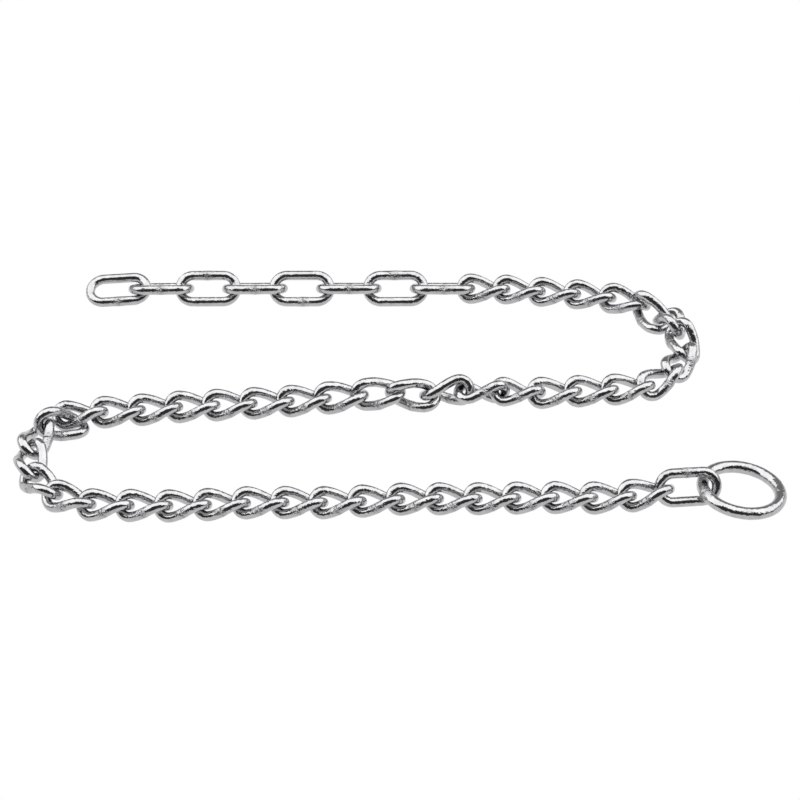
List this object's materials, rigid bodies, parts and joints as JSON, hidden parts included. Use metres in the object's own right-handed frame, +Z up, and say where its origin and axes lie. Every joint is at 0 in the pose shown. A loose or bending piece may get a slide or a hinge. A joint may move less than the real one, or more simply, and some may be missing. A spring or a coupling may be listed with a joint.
{
  "type": "steel chain",
  "caption": "Bright steel chain laid in a flat S: twisted curb links with a welded ring at one end and straight oval links at the other.",
  "frame": {"origin": "middle of the laid chain, on the floor", "axes": "+X along the rows towards the ring, +Y from the row with the ring to the row with the straight tail, +Z up"},
  "size_m": [0.3887, 0.1961, 0.018],
  "materials": {
    "plated_steel": "bright zinc or nickel plate on drawn wire"
  },
  "bodies": {
    "root": {"ring": "plated_steel", "connecting_link": "plated_steel", "curb_link_01": "plated_steel", "curb_link_02": "plated_steel", "curb_link_03": "plated_steel", "curb_link_04": "plated_steel", "curb_link_05": "plated_steel", "curb_link_06": "plated_steel", "curb_link_07": "plated_steel", "curb_link_08": "plated_steel", "curb_link_09": "plated_steel", "curb_link_10": "plated_steel", "curb_link_11": "plated_steel", "curb_link_12": "plated_steel", "curb_link_13": "plated_steel", "curb_link_14": "plated_steel", "curb_link_15": "plated_steel", "curb_link_16": "plated_steel", "curb_link_17": "plated_steel", "curb_link_18": "plated_steel", "curb_link_19": "plated_steel", "curb_link_20": "plated_steel", "curb_link_21": "plated_steel", "curb_link_22": "plated_steel", "curb_link_23": "plated_steel", "curb_link_24": "plated_steel", "curb_link_25": "plated_steel", "curb_link_26": "plated_steel", "curb_link_27": "plated_steel", "curb_link_28": "plated_steel", "curb_link_29": "plated_steel", "curb_link_30": "plated_steel", "curb_link_31": "plated_steel", "curb_link_32": "plated_steel", "curb_link_33": "plated_steel", "curb_link_34": "plated_steel", "curb_link_35": "plated_steel", "curb_link_36": "plated_steel", "curb_link_37": "plated_steel", "curb_link_38": "plated_steel", "curb_link_39": "plated_steel", "curb_link_40": "plated_steel", "curb_link_41": "plated_steel", "curb_link_42": "plated_steel", "curb_link_43": "plated_steel", "curb_link_44": "plated_steel", "curb_link_45": "plated_steel", "curb_link_46": "plated_steel", "tail_link_01": "plated_steel", "tail_link_02": "plated_steel", "tail_link_03": "plated_steel", "tail_link_04": "plated_steel", "tail_link_05": "plated_steel", "tail_link_06": "plated_steel", "tail_link_07": "plated_steel", "tail_link_08": "plated_steel"}
  },
  "joints": []
}
